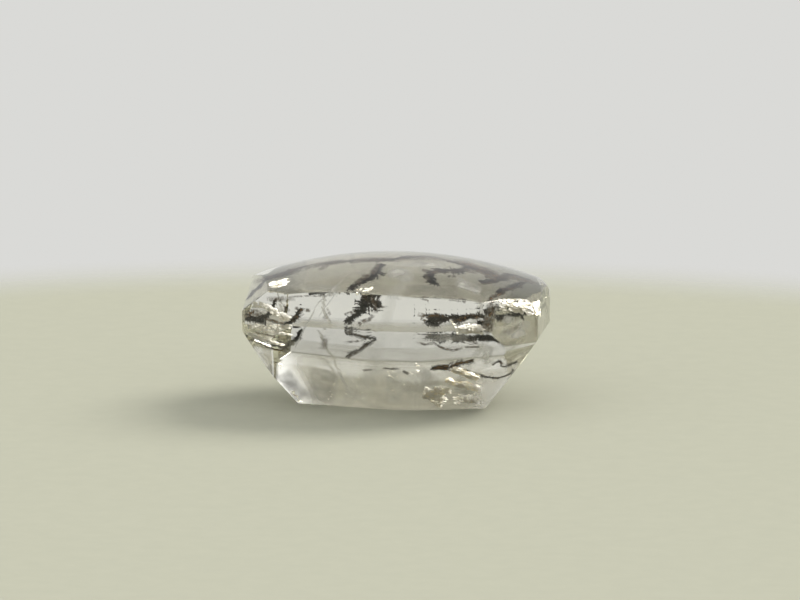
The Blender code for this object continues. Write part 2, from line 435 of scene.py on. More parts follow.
@dataclass(frozen=True)
class FloorFinish:
    """A pale matt floor with a faint grain, which fades out far from the stone."""

    pale: Colour = (0.440, 0.445, 0.365)
    shade: Colour = (0.408, 0.413, 0.340)
    grain: float = 900.0
    contrast: float = 1.0
    fade_from: float = 53.0
    fade_to: float = 66.0

    def material(self) -> bpy.types.Material:
        """Makes the floor's material."""
        material, tree, shader = new_material("pale floor")
        place = tree.add("ShaderNodeTexCoord").outputs["Object"]
        colour = tree.mix(mottle(tree, place, self.grain, self.contrast), self.pale, self.shade)
        tree.feed(shader.inputs["Base Color"], colour)
        shader.inputs["Roughness"].default_value = 1.0
        shader.inputs["Specular IOR Level"].default_value = 0.0
        distance = tree.add("ShaderNodeVectorMath", {"operation": "LENGTH"}, Vector=place).outputs["Value"]
        fade = tree.map_range(distance, self.fade_from * MM, self.fade_to * MM, (1.0, 0.0))
        tree.feed(shader.inputs["Alpha"], fade)
        return material


def deselect_all() -> None:
    """Leaves object mode with nothing selected."""
    if bpy.context.mode != "OBJECT":
        bpy.ops.object.mode_set(mode="OBJECT")
    bpy.ops.object.select_all(action="DESELECT")


def finish_piece(piece: bpy.types.Object, slot: Slot, *nodes: str) -> None:
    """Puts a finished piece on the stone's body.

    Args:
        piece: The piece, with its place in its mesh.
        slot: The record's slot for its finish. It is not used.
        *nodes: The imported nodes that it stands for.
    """
    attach(piece, "root")
    if nodes:
        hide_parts(*nodes)
    LOG.info("%s: %d faces", piece.name, len(piece.data.polygons))


@dataclass(frozen=True)
class Viewpoint:
    """Where the photograph was taken from, and how its frame of 800 by 600 pixels falls on the stone."""

    azimuth: float = 8.0
    elevation: float = 10.0
    distance: float = 300.0
    mm_per_pixel: float = 0.0521
    frame: tuple[int, int] = (800, 600)
    foot_pixel: tuple[float, float] = (396.8, 401.5)
    sensor: float = 36.0
    clip_ratio: float = 10.0

    @property
    def forward(self) -> Vector:
        """The direction that the camera looks in."""
        turn, lift = math.radians(self.azimuth), math.radians(self.elevation)
        return Vector((-math.sin(turn) * math.cos(lift), math.cos(turn) * math.cos(lift), -math.sin(lift)))

    @property
    def right(self) -> Vector:
        """The direction to the right in the picture."""
        return self.forward.cross(UP).normalized()

    @property
    def upward(self) -> Vector:
        """The direction up in the picture."""
        return self.right.cross(self.forward)

    def on_foot_plane(self, pixel: Sequence[float]) -> Vector:
        """Finds what a pixel shows on the upright plane through the middle of the resting flat.

        Args:
            pixel: The pixel.

        Returns:
            The point, in mm.
        """
        across = (pixel[0] - self.foot_pixel[0]) * self.mm_per_pixel
        above = (self.foot_pixel[1] - pixel[1]) * self.mm_per_pixel
        return self.right * across + self.upward * above

    @property
    def aim(self) -> Vector:
        """The point, in mm, at the middle of the picture."""
        return self.on_foot_plane((self.frame[0] / 2, self.frame[1] / 2))

    @property
    def eye(self) -> Vector:
        """The camera's place, in mm."""
        return self.aim - self.forward * self.distance

    def add_camera(self) -> None:
        """Adds the camera and makes it the scene's own."""
        deselect_all()
        turned = self.forward.to_track_quat("-Z", "Y").to_euler()
        bpy.ops.object.camera_add(location=self.eye * MM, rotation=turned)
        camera = bpy.context.object
        camera.name = "camera"
        camera.data.sensor_width = self.sensor
        camera.data.lens = self.sensor * self.distance / (self.frame[0] * self.mm_per_pixel)
        camera.data.clip_start = self.distance * MM / self.clip_ratio
        camera.data.clip_end = self.distance * MM * self.clip_ratio
        bpy.context.scene.camera = camera
        LOG.info("camera: lens %.0f mm", camera.data.lens)


@dataclass(frozen=True)
class StudioLight:
    """Plain soft light from all round: pale near the horizon, dimmer above it, with a broad lamp high up.

    Its heights above the level are in degrees. The front gives way to what is behind the stone between two
    shares of the way from front to back.
    """

    front: Colour = (0.95, 0.95, 0.92)
    horizon: Colour = (0.70, 0.70, 0.68)
    wall: Colour = (0.60, 0.60, 0.585)
    upper_wall: Colour = (0.30, 0.30, 0.29)
    overhead: Colour = (1.20, 1.20, 1.17)
    wall_from: float = 4.0
    wall_to: float = 11.0
    upper_wall_from: float = 24.0
    upper_wall_to: float = 32.0
    ceiling_from: float = 44.0
    ceiling_to: float = 62.0
    front_to: float = -0.35
    behind_from: float = 0.55
    lamp: Colour = (11.0, 10.6, 9.9)
    lamp_azimuth: float = 35.0
    lamp_elevation: float = 42.0
    lamp_half_width: float = 15.0
    lamp_softness: float = 0.3

    @property
    def towards_lamp(self) -> Vector:
        """The direction in which the lamp stands."""
        turn, lift = math.radians(self.lamp_azimuth), math.radians(self.lamp_elevation)
        return Vector((math.cos(turn) * math.cos(lift), math.sin(turn) * math.cos(lift), math.sin(lift)))

    def build(self) -> None:
        """Makes the world that lights the stone."""
        world = bpy.data.worlds.new("soft studio")
        world.use_nodes = True
        bpy.context.scene.world = world
        tree = Tree(world.node_tree)
        way = tree.add("ShaderNodeTexCoord").outputs["Generated"]
        parts = tree.add("ShaderNodeSeparateXYZ", None, Vector=way)

        def above(first: float, last: float) -> bpy.types.NodeSocket:
            """Finds how far a direction has risen between two heights.

            Args:
                first: The lower height, in degrees above the level.
                last: The upper height, in degrees above the level.

            Returns:
                A value from 0 to 1.
            """
            low, high = (math.sin(math.radians(angle)) for angle in (first, last))
            return tree.map_range(parts.outputs["Z"], low, high, (0.0, 1.0))

        wall = tree.mix(above(self.wall_from, self.wall_to), self.horizon, self.wall)
        behind = tree.mix(above(self.upper_wall_from, self.upper_wall_to), wall, self.upper_wall)
        backward = tree.map_range(parts.outputs["Y"], self.front_to, self.behind_from, (0.0, 1.0))
        around = tree.mix(backward, self.front, behind)
        dome = tree.mix(above(self.ceiling_from, self.ceiling_to), around, self.overhead)
        toward_lamp = tree.add("ShaderNodeVectorMath", {"operation": "DOT_PRODUCT"})
        tree.feed(toward_lamp.inputs[0], way)
        toward_lamp.inputs[1].default_value = self.towards_lamp
        rim = math.cos(math.radians(self.lamp_half_width * (1.0 + self.lamp_softness)))
        core = math.cos(math.radians(self.lamp_half_width * (1.0 - self.lamp_softness)))
        lit = tree.map_range(toward_lamp.outputs["Value"], rim, core, (0.0, 1.0))
        colour = tree.mix(lit, dome, self.lamp)
        background = tree.add("ShaderNodeBackground", None, Color=colour)
        tree.add("ShaderNodeOutputWorld", None, Surface=background.outputs["Background"])


@dataclass(frozen=True)
class Floor:
    """The level surface that the stone rests on."""

    radius: float = 70.0
    centre: tuple[float, float] = (0.0, -20.0)
    corners: int = 128
    finish: FloorFinish = field(default_factory=FloorFinish)

    def build(self) -> None:
        """Adds the floor, which is no part of the stone."""
        deselect_all()
        spot = (self.centre[0] * MM, self.centre[1] * MM, 0.0)
        bpy.ops.mesh.primitive_circle_add(
            vertices=self.corners, radius=self.radius * MM, fill_type="NGON", location=spot
        )
        floor = bpy.context.object
        floor.name = "floor"
        floor.data.materials.append(self.finish.material())


@dataclass(frozen=True)
class Side:
    """How one side of the outline is cut, in mm.

    The girdle band stands upright down to its foot. Each tier below has come in by its inset at its level.
    """

    band_foot: float
    levels: tuple[float, ...]
    insets: tuple[float, ...]


LONG_SIDE = Side(6.10, (4.75, 4.05, 2.70, 0.0), (0.23, 0.70, 1.75, 4.02))
RIGHT_CORNER = Side(5.65, (4.75, 3.85, 2.70, 0.0), (0.05, 0.12, 0.80, 2.38))
LEFT_CORNER = Side(5.90, (4.75, 3.85, 2.70, 0.0), (0.05, 0.10, 0.74, 2.19))
RIGHT_END = Side(5.60, (4.75, 3.85, 2.70, 0.0), (0.00, 0.00, 0.86, 2.70))
LEFT_END = Side(5.80, (4.75, 3.85, 2.70, 0.0), (0.00, 0.00, 0.80, 2.40))


@dataclass
class CutQuartz:
    """The clear stone: a polished dome over a girdle band, with tiers of flat facets below. Sizes in mm."""

    outline: tuple[tuple[float, float], ...] = (
        (-4.95, -5.35), (-0.25, -6.30), (1.90, -6.30),
        (5.20, -5.35), (7.70, -2.77), (7.70, 2.77),
        (5.20, 5.35), (1.20, 6.30), (-1.20, 6.30),
        (-4.95, 5.35), (-7.70, 2.77), (-7.70, -2.77),
    )
    sides: tuple[Side, ...] = (
        *(LONG_SIDE,) * 3, RIGHT_CORNER, RIGHT_END, RIGHT_CORNER,
        *(LONG_SIDE,) * 3, LEFT_CORNER, LEFT_END, LEFT_CORNER,
    )
    kites: tuple[tuple[float, float, tuple[float, float, float]], ...] = (
        (-14.0, 38.0, (7.70, -2.77, 5.55)),
        (-164.0, 40.0, (-7.70, -2.77, 5.10)),
        (16.0, 38.0, (7.70, 2.77, 5.60)),
        (164.0, 38.0, (-7.70, 2.77, 5.60)),
    )
    dome_radius: float = 22.0
    dome_centre_x: float = -0.25
    dome_fineness: int = 7
    dome_slack: float = 0.01
    dome_match: float = 0.9995
    weld: float = 1e-8
    edge_flat: float = 0.012
    sharp_angle: float = 3.0
    finish: QuartzFinish = field(default_factory=QuartzFinish)
    piece: bpy.types.Object | None = None

    @property
    def dome_centre(self) -> Vector:
        """The middle of the dome's sphere, in mm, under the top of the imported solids."""
        top = CAD_BOX[1].z / MM
        return Vector((self.dome_centre_x, 0.0, top - self.dome_radius))

    def cut(self, point: Vector, outward: Vector) -> None:
        """Grinds one flat on the stone, which is in edit mode.

        Args:
            point: A point of the flat, in mm.
            outward: The flat's outward normal.
        """
        bpy.ops.mesh.select_all(action="SELECT")
        bpy.ops.mesh.bisect(
            plane_co=point * MM, plane_no=outward, use_fill=True, clear_outer=True, threshold=self.weld
        )

    def cut_side(self, start: tuple[float, float], end: tuple[float, float], side: Side) -> None:
        """Grinds the girdle band and the tiers of one side.

        Args:
            start: The corner of the outline where the side begins, in mm.
            end: The corner where it ends, in mm.
            side: How it is cut.
        """
        along = Vector((end[0] - start[0], end[1] - start[1], 0.0)).normalized()
        outward = along.cross(UP)
        wall = Vector((*start, 0.0))
        self.cut(wall, outward)
        upper_level, upper_inset = side.band_foot, 0.0
        for level, inset in zip(side.levels, side.insets):
            if inset > upper_inset:
                normal = outward * (upper_level - level) - UP * (inset - upper_inset)
                self.cut(wall - outward * upper_inset + UP * upper_level, normal.normalized())
            upper_level, upper_inset = level, inset

    def cut_kites(self) -> None:
        """Grinds the kite facets that take the dome's rim off the four end corners."""
        for azimuth, rise, point in self.kites:
            turn, lift = math.radians(azimuth), math.radians(rise)
            level = math.cos(lift)
            self.cut(Vector(point), Vector((math.cos(turn) * level, math.sin(turn) * level, math.sin(lift))))

    def is_dome(self, face: bpy.types.MeshPolygon) -> bool:
        """Tells whether a face is part of the dome.

        Args:
            face: The face.

        Returns:
            Whether it lies on the dome's sphere and faces away from its middle.
        """
        radial = face.center / MM - self.dome_centre
        level = abs(radial.length - self.dome_radius) < self.dome_slack
        return level and face.normal.dot(radial.normalized()) > self.dome_match

    def blunt_edges(self) -> None:
        """Takes a hair's breadth off each edge between two flats, as polish does."""
        bpy.ops.object.mode_set(mode="OBJECT")
        mesh = self.piece.data
        flats = {face.index: face.normal.copy() for face in mesh.polygons if not self.is_dome(face)}
        beside: dict[tuple[int, int], list[int]] = {}
        for index in flats:
            for key in mesh.polygons[index].edge_keys:
                beside.setdefault(key, []).append(index)
        planes = []
        for key, faces in beside.items():
            if len(faces) == 2:
                first, second = (flats[index] for index in faces)
                if first.angle(second) > math.radians(self.sharp_angle):
                    outward = (first + second).normalized()
                    middle = sum((mesh.vertices[index].co for index in key), Vector()) / 2 / MM
                    planes.append((middle - outward * self.edge_flat, outward))
        bpy.ops.object.mode_set(mode="EDIT")
        for point, outward in planes:
            self.cut(point, outward)

    def build(self) -> None:
        """Cuts the stone from a ball of the dome's radius, and gives it its finish."""
        deselect_all()
        bpy.ops.mesh.primitive_ico_sphere_add(
            subdivisions=self.dome_fineness, radius=self.dome_radius * MM, location=self.dome_centre * MM
        )
        bpy.ops.object.transform_apply(location=True, rotation=False, scale=False)
        self.piece = bpy.context.object
        self.piece.name = self.piece.data.name = "quartz"
        bpy.ops.object.mode_set(mode="EDIT")
        self.cut(Vector(), -UP)
        for index, side in enumerate(self.sides):
            self.cut_side(self.outline[index], self.outline[(index + 1) % len(self.outline)], side)
        self.cut_kites()
        self.blunt_edges()
        bpy.ops.object.mode_set(mode="OBJECT")
        for face in self.piece.data.polygons:
            face.use_smooth = self.is_dome(face)
        self.piece.data.materials.append(self.finish.material())
        finish_piece(self.piece, Slot.QUARTZ, "quartz_upper", "quartz_lower")

    def surface(self) -> BVHTree:
        """Prepares the stone's surface, to find where a line of sight meets it.

        Returns:
            The surface, in metres.
        """
        mesh = self.piece.data
        corners = [vertex.co for vertex in mesh.vertices]
        return BVHTree.FromPolygons(corners, [tuple(face.vertices) for face in mesh.polygons])


@dataclass
class Sight:
    """Finds points under the stone's surface by where a view of it shows them."""

    view: Viewpoint
    stone: BVHTree
    ior: float

    def strike(self, pixel: Sequence[float]) -> tuple[Vector, Vector | None, Vector | None]:
        """Follows the line of sight to the stone.

        Args:
            pixel: Where the view shows the stone.

        Returns:
            The line's direction, and the place in metres and the normal where it meets the stone, if it does.
        """
        way = (self.view.on_foot_plane(pixel) - self.view.eye).normalized()
        place, normal, _, _ = self.stone.ray_cast(self.view.eye * MM, way)
        return way, place, normal

    def drawn_in(self, pixel: Vector, inner: Vector, steps: int = 12) -> Vector:
        """Draws a pixel inwards until it is on the stone.

        Args:
            pixel: The pixel, on or beside the stone.
            inner: A pixel on the stone.
            steps: How many steps the way to the inner one has.

        Returns:
            The first pixel on the way that is on the stone.
        """
        for step in range(steps):
            nearer = pixel.lerp(inner, step / steps)
            if self.strike(nearer)[1] is not None:
                return nearer
        return inner

    def under(self, pixel: Sequence[float], depth: float) -> Vector:
        """The point, in mm, at this depth under the surface, where the view shows this pixel."""
        place, way = self.bent(pixel)
        return place + way * depth

    def bent(self, pixel: Sequence[float]) -> tuple[Vector, Vector]:
        """Follows the line of sight into the stone.

        Args:
            pixel: Where the view shows the stone.

        Returns:
            The point, in mm, where the line enters, and its direction inside.

        Raises:
            ValueError: The pixel is beside the stone.
        """
        way, place, normal = self.strike(pixel)
        if place is None:
            raise ValueError(f"pixel {pixel} is beside the stone")
        return place / MM, refracted(way, normal, self.ior)

    def lit(self, point: Vector, lamp: Vector, rounds: int = 3, grazing: float = 0.1) -> Vector:
        """The direction in which the lamp's light comes to a point in the stone.

        Args:
            point: The point, in mm.
            lamp: The direction in which the lamp stands.
            rounds: How often the guess is made better.
            grazing: The least cosine at which light still comes in well through a face.

        Returns:
            The light's direction inside the stone.
        """
        inward = refracted(-lamp, UP, self.ior)
        for _ in range(rounds):
            normal = self.stone.ray_cast(point * MM, -inward)[1]
            if normal is None or normal.dot(lamp) < grazing:
                break
            inward = refracted(-lamp, normal, self.ior)
        return inward


def refracted(way: Vector, normal: Vector, ior: float) -> Vector:
    """Bends light that comes into the stone.

    Args:
        way: The light's unit direction outside.
        normal: The normal of the face that it comes in through.
        ior: The stone's index of refraction.

    Returns:
        The light's direction inside.
    """
    ratio = 1.0 / ior
    cosine = -way.dot(normal)
    inner = math.sqrt(1.0 - ratio**2 * (1.0 - cosine**2))
    return way * ratio + normal * (ratio * cosine - inner)


def make_cloud(sheet: bpy.types.Object, bodies: Sequence[float], thickness: float) -> None:
    """Makes a shaped sheet into a cloud.

    Args:
        sheet: The active object, a sheet.
        bodies: How solid it is at each point, from 0 to 1.
        thickness: Its thickness, in mm.
    """
    sheet.data.attributes.new(BODY, "FLOAT", "POINT").data.foreach_set("value", bodies)
    solid = sheet.modifiers.new("thickness", "SOLIDIFY")
    solid.thickness = thickness * MM
    bpy.ops.object.modifier_apply(modifier=solid.name)


@dataclass
class Veil:
    """A thin sheet of cloud under the surface, along a path that the view shows.

    Its half width and step are in pixels, its depth and thickness in mm. Its wave is a share of its depth.
    """

    kind: Cloud
    path: tuple[Pixel, ...]
    half_width: float
    body: float = 0.5
    depth: float = 0.45
    crispness: float = 2.0
    wave: float = 0.12
    wave_fineness: float = 1.3
    step: float = 2.0
    columns: int = 7
    thickness: float = 0.015

    def along(self) -> list[tuple[Vector, Vector]]:
        """Steps along the path.

        Returns:
            Points at about equal steps, each with the unit direction across the path.
        """
        corners = [Vector(pixel) for pixel in self.path]
        runs = []
        for start, end in zip(corners, corners[1:]):
            count = max(1, round((end - start).length / self.step))
            runs += [start.lerp(end, index / count) for index in range(count)]
        runs.append(corners[-1])
        line = []
        for index, point in enumerate(runs):
            forward = runs[min(index + 1, len(runs) - 1)] - runs[max(index - 1, 0)]
            line.append((point, Vector((-forward.y, forward.x)).normalized()))
        return line

    def build(self, sight: Sight) -> bpy.types.Object:
        """Shapes the sheet from a grid, and marks how solid it is at each point.

        Args:
            sight: Where the path is seen from.

        Returns:
            The sheet, not yet dressed.
        """
        line = self.along()
        deselect_all()
        rows = len(line) - 1
        bpy.ops.mesh.primitive_grid_add(x_subdivisions=rows, y_subdivisions=self.columns - 1, size=2.0)
        sheet = bpy.context.object
        bodies = []
        for vertex in sheet.data.vertices:
            share = (vertex.co.x + 1.0) / 2.0
            point, across = line[round(share * rows)]
            offset = vertex.co.y * self.half_width
            spot = sight.under(sight.drawn_in(point + across * offset, point), self.depth)
            spot += noise.noise_vector(spot * self.wave_fineness) * self.depth * self.wave
            end = abs(2.0 * share - 1.0)
            side = abs(vertex.co.y)
            bodies.append(self.body * (1.0 - side**self.crispness) * (1.0 - end ** (self.crispness * 2.0)))
            vertex.co = spot * MM
        make_cloud(sheet, bodies, self.thickness)
        return sheet


@dataclass
class Haze:
    """A wide faint cloud deep in the stone, by default close to the facets behind.

    Each point of its profile has a depth along Y, a height and a half width, in mm, and the bow is how far
    its two sides bend along Y to keep clear of the corners.
    """

    kind: Cloud = Cloud.HAZE
    profile: tuple[tuple[float, float, float], ...] = (
        (0.90, 0.20, 4.3),
        (2.35, 1.20, 4.5),
        (3.75, 2.70, 5.2),
        (4.75, 4.00, 5.6),
        (5.00, 4.75, 5.6),
    )
    body: float = 1.0
    wave: float = 0.25
    wave_fineness: float = 0.8
    bow: float = -0.8
    bow_power: int = 3
    side_crispness: int = 6
    end_crispness: int = 8
    thickness: float = 0.02
    columns: int = 44
    rows: int = 30

    def build(self) -> bpy.types.Object:
        """Shapes the cloud from a grid, and marks how solid it is at each point.

        Returns:
            The cloud, not yet dressed.
        """
        deselect_all()
        bpy.ops.mesh.primitive_grid_add(x_subdivisions=self.columns, y_subdivisions=self.rows, size=2.0)
        sheet = bpy.context.object
        bodies = []
        for vertex in sheet.data.vertices:
            side, share = vertex.co.x, (vertex.co.y + 1.0) / 2.0
            place = share * (len(self.profile) - 1)
            index = min(int(place), len(self.profile) - 2)
            below, above = (Vector(level) for level in self.profile[index : index + 2])
            deep, high, half = below.lerp(above, place - index)
            spot = Vector((side * half, deep, high))
            wave = noise.noise(spot * self.wave_fineness) * self.wave * math.sin(math.pi * share)
            spot.y += wave + abs(side) ** self.bow_power * self.bow
            vertex.co = spot * MM
            inner = 1.0 - abs(side) ** self.side_crispness
            bodies.append(self.body * inner * (1.0 - abs(2.0 * share - 1.0) ** self.end_crispness))
        make_cloud(sheet, bodies, self.thickness)
        return sheet


@dataclass
class Flecks:
    """Small bright flakes along a path that the view shows, turned so that they catch the lamp.

    The half width is in pixels, and sizes, depths and thickness are in mm. Each flake's size and depth are
    drawn from their ranges, and stray is how far it may turn from where it catches the lamp. Its breadth, and
    how far its lobes stand out, are shares of its size.
    """

    path: tuple[Pixel, ...]
    half_width: float
    count: int
    size: Span = (0.07, 0.19)
    depth: Span = (0.25, 0.6)
    stray: float = 0.16
    seed: int = 1
    kind: Flake = Flake.BRIGHT
    corners: int = 6
    lobes: float = 0.35
    breadth: float = 0.6
    thickness: float = 0.008

    def place(self, sight: Sight, lamp: Vector, bm: bmesh.types.BMesh) -> None:
        """Adds the flakes to a mesh.

        Args:
            sight: Where the path is seen from.
            lamp: The direction in which the lamp stands.
            bm: The mesh that they go into.
        """
        rng = random.Random(self.seed)
        runs = list(zip(self.path, self.path[1:]))
        for _ in range(self.count):
            start, end = (Vector(pixel) for pixel in rng.choice(runs))
            across = Vector((start.y - end.y, end.x - start.x)).normalized()
            point = start.lerp(end, rng.random())
            pixel = sight.drawn_in(point + across * rng.uniform(-1, 1) * self.half_width, point)
            entry, way = sight.bent(pixel)
            middle = entry + way * rng.uniform(*self.depth)
            normal = -(way + sight.lit(middle, lamp)).normalized()
            normal += Vector((rng.gauss(0, 1), rng.gauss(0, 1), rng.gauss(0, 1))) * self.stray
            turned = normal.normalized().to_track_quat("Z", "Y")
            size = rng.uniform(*self.size)
            start_angle = rng.uniform(0, math.tau)
            rings: list[list[bmesh.types.BMVert]] = []
            for level in (-self.thickness, self.thickness):
                ring = []
                for corner in range(self.corners):
                    angle = start_angle + math.tau * corner / self.corners
                    reach = size * (1.0 + self.lobes * math.sin(2.0 * angle + start_angle))
                    flat = Vector((math.cos(angle) * reach, math.sin(angle) * reach * self.breadth, level))
                    ring.append(bm.verts.new((middle + turned @ flat) * MM))
                rings.append(ring)
            low, high = rings
            bm.faces.new(low[::-1])
            bm.faces.new(high)
            for index in range(self.corners):
                after = (index + 1) % self.corners
                bm.faces.new((low[index], low[after], high[after], high[index]))


def build_flecks(flecks: Sequence[Flecks], sight: Sight, lamp: Vector) -> None:
    """Builds the flakes, joined to one piece for each kind.

    Args:
        flecks: The patches of flakes.
        sight: Where they are seen from.
        lamp: The direction in which the lamp stands.
    """
    for kind in Flake:
        bm = bmesh.new()
        for patch in flecks:
            if patch.kind is kind:
                patch.place(sight, lamp, bm)
        mesh = bpy.data.meshes.new(kind.name.lower() + "_flakes")
        bm.to_mesh(mesh)
        bm.free()
        piece = bpy.data.objects.new(mesh.name, mesh)
        bpy.context.scene.collection.objects.link(piece)
        mesh.materials.append(kind.value.material())
        finish_piece(piece, Slot.QUARTZ)


def bright_flecks() -> list[Flecks]:
    """Lists the bright flakes that show from the front, from the top to the foot.

    Returns:
        The patches of flakes.
    """
    return [
        Flecks(((271, 285.5), (280, 283.5), (288, 281.5)), 3.0, 60, (0.08, 0.18), (0.2, 0.4), 0.06, seed=1),
        Flecks(((356, 290.5), (372, 289)), 1.8, 18, (0.07, 0.15), (0.2, 0.35), 0.12, seed=2),
        Flecks(((507, 304), (530, 305.5)), 2.4, 90, (0.07, 0.17), (0.25, 0.4), 0.10, seed=3),
        Flecks(((536.5, 302), (538.5, 308), (537, 315)), 3.0, 60, (0.08, 0.16), (0.25, 0.4), 0.08, seed=4),
        Flecks(((450, 319), (456, 327), (458, 336)), 0.5, 22, (0.04, 0.09), seed=8),
        Flecks(((453, 368.5), (466, 374), (480, 378.5)), 2.8, 90, (0.06, 0.17), stray=0.12, seed=9),
        Flecks(((447, 381), (462, 384), (479, 389)), 3.2, 90, (0.06, 0.17), stray=0.12, seed=10),
        Flecks(((434, 389), (446, 392)), 3.5, 50, (0.06, 0.17), stray=0.12, seed=11),
        Flecks(((425, 392), (433, 397), (441, 402)), 5.0, 70, (0.06, 0.17), stray=0.12, seed=12),
        Flecks(((456, 398), (478, 398)), 5.0, 22, (0.05, 0.12), seed=13),
        Flecks(((394, 368), (398, 382), (401, 400)), 7.0, 14, (0.03, 0.06), seed=14),
        Flecks(((418, 364), (412, 376)), 4.0, 12, (0.03, 0.07), seed=15),
        Flecks(((350, 372), (356, 402)), 9.0, 12, (0.03, 0.06), seed=16),
        Flecks(((280, 364), (283, 368)), 1.2, 8, (0.06, 0.12), stray=0.05, seed=17),
        Flecks(((292, 391), (300, 402)), 1.4, 14, (0.05, 0.11), seed=18),
        Flecks(((334, 383), (330, 400)), 2.5, 7, (0.04, 0.08), seed=19),
    ]


def satin_flecks(first_seed: int = 51) -> list[Flecks]:
    """Lists the soft white clouds that show from the front: flakes too small to tell apart.

    Args:
        first_seed: The seed of the first cloud. Those of the others follow it.

    Returns:
        The patches of flakes.
    """
    clouds = (
        (((254, 304), (266, 306), (277, 312.5), (289, 319.5)), 3.0, 110),
        (((248, 326.5), (267, 327), (290, 326.5)), 1.8, 90),
        (((248, 333.5), (264, 340), (284, 345.5)), 1.5, 100),
        (((261, 330.5), (276, 333), (290, 334.5)), 1.0, 40),
        (((500, 305), (518, 308), (533, 311)), 4.5, 170),
        (((459, 330.5), (470, 328), (483, 331)), 4.2, 120),
        (((424, 392), (432, 395), (444, 403)), 6.0, 160),
        (((436, 388), (450, 391)), 3.0, 60),
        (((450, 383), (464, 385), (480, 390)), 2.4, 100),
        (((452, 370), (466, 375), (478, 379)), 2.2, 80),
        (((455, 401), (468, 398), (482, 402)), 3.6, 90),
    )
    return [
        Flecks(path, half_width, count, (0.06, 0.16), (0.2, 0.5), 0.09, seed, Flake.SATIN)
        for seed, (path, half_width, count) in enumerate(clouds, start=first_seed)
    ]


def build_veils(veils: Sequence[tuple[Veil, Sight]], hazes: Sequence[Haze]) -> None:
    """Builds the veils and hazes, joined to one piece for each kind of cloud.

    Args:
        veils: The veils, each with where it is seen from.
        hazes: The hazes.
    """
    for kind in Cloud:
        sheets = [veil.build(sight) for veil, sight in veils if veil.kind is kind]
        sheets += [haze.build() for haze in hazes if haze.kind is kind]
        if not sheets:
            continue
        deselect_all()
        for sheet in sheets:
            sheet.select_set(True)
        bpy.context.view_layer.objects.active = sheets[0]
        bpy.ops.object.join()
        piece = bpy.context.object
        piece.name = piece.data.name = kind.name.lower() + "_clouds"
        piece.data.materials.append(kind.value.material())
        finish_piece(piece, Slot.DENDRITE if kind is Cloud.FEATHERY else Slot.QUARTZ)


def front_veils() -> list[Veil]:
    """Lists the clouds and fractures that show from the front, in the order of the stone's windows. The grey
    smoke clouds among them are partly painted shade.

    Returns:
        The veils.
    """
    milky, hatched, smoke_and_shade, rusty = Cloud.MILKY, Cloud.HATCHED, Cloud.SMOKE_AND_SHADE, Cloud.RUSTY
    return [
        Veil(milky, ((288, 287.5), (318, 287), (347, 289)), 3.6, 0.3, 0.3),
        Veil(milky, ((386, 273), (400, 274), (414, 277)), 8.0, 0.7, 0.5),
        Veil(milky, ((455, 281), (468, 286), (482, 291)), 5.5, 0.9, 0.5),
        Veil(milky, ((392, 265), (415, 264), (445, 265.5)), 3.0, 0.6, 0.5),
        Veil(milky, ((418, 338.5), (445, 338), (470, 338)), 5.0, 0.5, 0.2),
        Veil(milky, ((413, 272), (402, 286), (391, 299), (383, 330)), 7.0, 0.25),
        Veil(milky, ((383, 330), (372, 365), (362, 403)), 9.0, 0.25),
        Veil(milky, ((345, 278), (331, 291), (319, 302), (308, 321), (293, 352)), 1.1, 0.8),
        Veil(milky, ((338, 290), (328, 303), (318, 318)), 1.0, 0.6),
        # Painted shade: a grey smoke band at the foot of the dome, where a facet shows darker surroundings.
        Veil(smoke_and_shade, ((404, 290), (430, 290), (458, 291)), 6.5, 0.45, 0.3, crispness=4.0),
        Veil(rusty, ((268, 298.5), (282, 299.5), (296, 298)), 3.2, 0.5, 0.3),
        # Painted shade: a thin dark line along the edge between the right corner facet and the right end,
        # made as a rusty cloud.
        Veil(rusty, ((532, 306), (536, 320), (536, 337)), 0.8, 0.8, 0.2),
        Veil(hatched, ((494, 303), (491, 318), (487, 335)), 7.5, 0.85, 0.35),
        Veil(hatched, ((490, 345), (487, 356), (484, 366)), 6.0, 0.6, 0.35),
        Veil(rusty, ((500, 319), (513, 316)), 1.8, 0.7, 0.4),
        Veil(rusty, ((503, 333), (513, 330), (524, 324)), 2.6, 0.5, 0.5),
        # Painted shade in part: a grey smoke sheet low on the right, where the facet is greyer.
        Veil(smoke_and_shade, ((498, 345), (520, 341)), 2.5, 0.35, 0.5),
        Veil(rusty, ((326, 337), (323, 350)), 5.0, 0.35, 0.5),
        # Painted shade in part: grey smoke sheets that darken the lowest facets, which mirror darker
        # surroundings.
        Veil(smoke_and_shade, ((267, 366), (272, 371), (279, 380)), 4.0, 0.5, 0.3, crispness=6.0),
        Veil(smoke_and_shade, ((325, 369), (322, 386), (318, 403)), 17.0, 0.5, 0.6, crispness=4.0),
        Veil(smoke_and_shade, ((283, 372), (291, 384), (303, 400)), 9.0, 0.9, 0.5, crispness=4.0),
        Veil(milky, ((502, 318), (516, 322), (531, 326)), 5.0, 0.9, 0.25, crispness=4.0),
        Veil(milky, ((506, 334), (516, 334), (526, 330)), 5.0, 0.8, 0.25, crispness=4.0),
        Veil(milky, ((351, 372), (353, 390), (345, 405)), 8.0, 0.3, 0.5),
        Veil(milky, ((392, 372), (396, 388), (392, 404)), 10.0, 0.3, 0.5),
        Veil(rusty, ((383, 367.5), (392, 369), (401, 369)), 1.0, 0.9, 0.3),
        Veil(rusty, ((362, 371), (373, 369.5)), 0.8, 0.7, 0.3),
        Veil(rusty, ((402, 371), (409, 374)), 1.8, 0.9, 0.4),
        # Painted shade in part: grey smoke sheets on the lowest facets at the right.
        Veil(smoke_and_shade, ((415, 368), (428, 377), (441, 386)), 7.0, 0.45, 0.6),
        Veil(milky, ((424, 393), (436, 397), (447, 404)), 5.5, 0.3, 0.5),
        Veil(smoke_and_shade, ((452, 390), (475, 393)), 3.5, 0.45, 0.55),
        Veil(milky, ((452, 402), (470, 402), (482, 398)), 4.0, 0.3, 0.5),
        *feathery_veils(),
    ]


